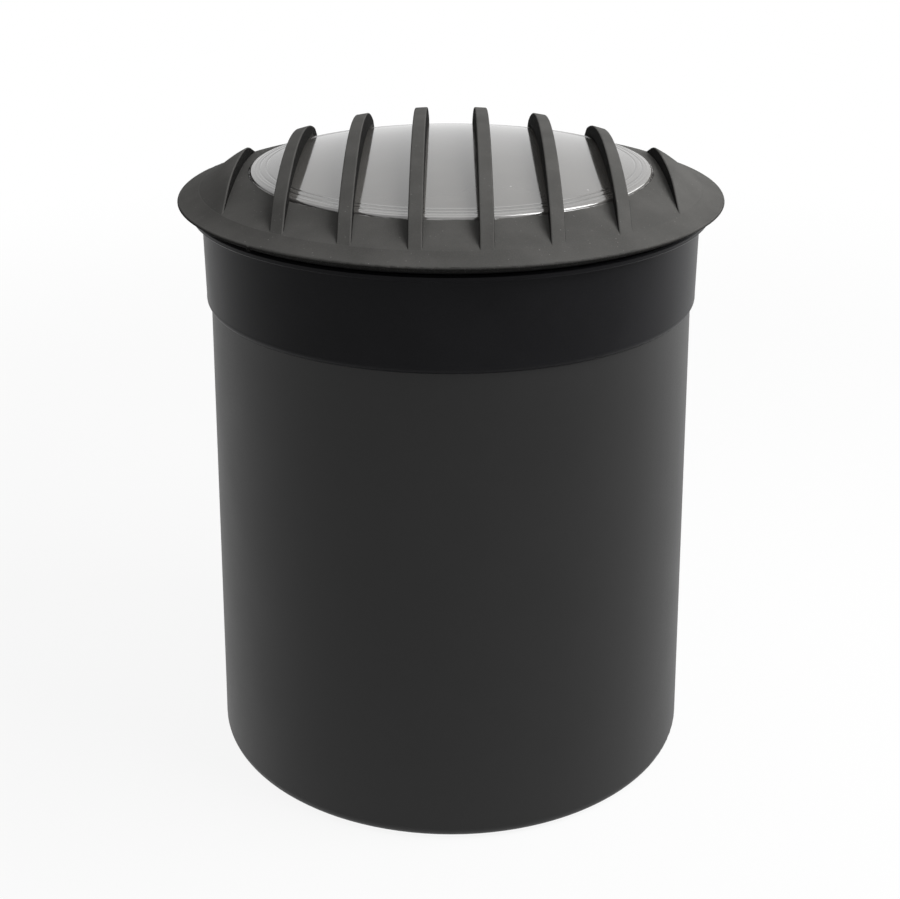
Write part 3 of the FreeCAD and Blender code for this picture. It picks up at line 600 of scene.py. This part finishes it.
def makeSealant(look):
    path, radii = [], []
    for turn in fullTurn(look["points"]):
        swell = look["middle"] + sum(size * math.sin(times * turn + start)
                                     for times, size, start in look["swells"])
        height = look["height"] + 0.5 * look["thick"] * math.sin(look["rises"] * turn)
        x, y = look["gapMiddle"] * math.cos(turn), look["gapMiddle"] * math.sin(turn)
        path.append(Vector((x, y, height)))
        radii.append(look["thin"] + (look["thick"] - look["thin"]) * min(1.0, max(0.0, swell)))
    return sweep("edge_sealant", path, radii)


dress(makeSealant(sealantLook), "lens_glass", "lens_unit")
print("sealant made")

lampGlassLook = {                    # pressed in ribs and pillows on its inner face
    "edgeWidth": 2.5 * mm, "wall": 3.0 * mm, "round": 0.8 * mm, "points": 56,
    "ribWidth": 7.2 * mm, "pillowLength": 10.5 * mm, "ribDepth": 0.55 * mm, "pillowDepth": 0.25 * mm,
    "plainEdge": 4.0 * mm,
}


def makeLampGlass(look):
    low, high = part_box("lamp_glass")
    reach, crown, bottom = high[0], high[2], low[2]
    sphere = capRadius(reach, crown - bottom - look["wall"])
    inner = reach - look["edgeWidth"]
    shoulder = reach - look["round"]
    shares = [step / look["points"] for step in range(look["points"] + 1)]
    outline = [(shoulder * share, onSphere(crown, sphere, shoulder * share)) for share in shares]
    side = outline[-1][1] - look["round"]
    outline.append((reach - 0.3 * look["round"], side + 0.7 * look["round"]))
    outline += [(reach, side), (reach, bottom), (inner, bottom)]
    outline += [(inner * share, onSphere(crown - look["wall"], sphere, inner * share))
                for share in reversed(shares)]
    made = lathe("lamp_glass_pressed", outline)
    plain = inner - look["plainEdge"]
    for vert in made.data.vertices:
        r = math.hypot(vert.co.x, vert.co.y)
        if r < plain and vert.co.z < onSphere(crown, sphere, r) - 0.5 * look["wall"]:
            rib = look["ribDepth"] * abs(math.cos(math.pi * vert.co.x / look["ribWidth"]))
            pillow = look["pillowDepth"] * abs(math.cos(math.pi * vert.co.y / look["pillowLength"]))
            vert.co.z -= min(1.0, (plain - r) / look["ribWidth"]) * (rib + pillow)
    return made


dress(makeLampGlass(lampGlassLook), "lamp_glass", "lamp", "lamp_glass")
print("lamp glass made")

burnerLook = {                       # a capsule drawn in to a flat pinch, with a coiled filament in it
    "wall": 0.7 * mm, "bulbShare": 0.55, "tip": 1.1 * mm, "tipDrop": 0.35 * mm, "roundPoints": 8,
    "neck": ((1.0, 0.0), (0.85, 0.45), (0.5, 1.0), (0.3, 1.0)), "neckInside": (0.7, 0.4), "sides": 64,
    "pinchWidth": 1.6, "pinchDepth": 0.7, "pinchRise": 0.6, "pinchTaper": 0.8, "pinchRound": 0.45 * mm,
    "coilRadius": 1.15 * mm, "coilTurns": 9, "coilLength": 5.6 * mm, "coilPoints": 24, "wire": 0.13 * mm,
    "legSpacing": 1.5 * mm, "legFoot": 2 * mm, "legBend": 1 * mm, "legBow": 1.4, "hookRise": 0.6 * mm,
}


def makeBulb(look):
    low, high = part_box("lamp_burner")
    reach, crown = high[0], high[2]
    shoulder = crown - look["bulbShare"] * (crown - low[2])
    inner = reach - look["wall"]
    angles = [math.pi / 2 * step / look["roundPoints"] for step in range(look["roundPoints"] + 1)]
    outline = [(0, crown + 0.2 * look["tip"]), (0.3 * look["tip"], crown),
               (0.8 * look["tip"], crown - look["tipDrop"])]
    outline += [(reach * math.sin(angle), crown - reach * (1 - math.cos(angle))) for angle in angles[2:]]
    outline += [(share * reach, shoulder - drop * reach) for share, drop in look["neck"]]
    share, drop = look["neckInside"]
    outline += [(share * inner, shoulder - drop * reach), (inner, shoulder)]
    outline += [(inner * math.sin(angle), crown - look["wall"] - inner * (1 - math.cos(angle)))
                for angle in reversed(angles)]
    return lathe("burner_bulb", outline, look["sides"])


def makePinch(look):
    low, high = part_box("lamp_burner")
    reach, bottom = high[0], low[2]
    top = high[2] - look["bulbShare"] * (high[2] - bottom) - look["pinchRise"] * reach
    build = bmesh.new()
    bmesh.ops.create_cube(build, size=1)
    for vert in build.verts:
        taper = look["pinchTaper"] if vert.co.z > 0 else 1.0
        vert.co = Vector((look["pinchWidth"] * reach * vert.co.x * taper,
                          look["pinchDepth"] * reach * vert.co.y,
                          (bottom + top) / 2 + (top - bottom) * vert.co.z))
    bmesh.ops.bevel(build, geom=build.edges[:], offset=look["pinchRound"], segments=3, affect="EDGES",
                    profile=0.5)
    return finishMesh("burner_pinch", build)


def makeFilament(look):
    low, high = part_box("lamp_burner")
    foot = low[2] + look["legFoot"]
    top = high[2] - high[0]
    start = top - look["coilLength"]
    bend = start - look["legBend"]
    spacing = look["legSpacing"]
    path = [Vector((spacing, 0, foot)), Vector((spacing, 0, bend))]
    steps = look["coilPoints"] * look["coilTurns"]
    for step in range(steps + 1):
        turn = math.tau * look["coilTurns"] * step / steps
        path.append(Vector((look["coilRadius"] * math.cos(turn), look["coilRadius"] * math.sin(turn),
                            start + look["coilLength"] * step / steps)))
    path += [Vector((0, -look["coilRadius"], top + look["hookRise"])), Vector((-spacing, 0, top)),
             Vector((-look["legBow"] * spacing, 0, bend)), Vector((-spacing, 0, foot))]
    return sweep("filament", path, [look["wire"]] * len(path), closed=False)


dress(makeBulb(burnerLook), "lamp_glass", "lamp", "lamp_burner")
dress(makePinch(burnerLook), "lamp_glass", "lamp")
dress(makeFilament(burnerLook), "stainless", "lamp")
print("burner made")
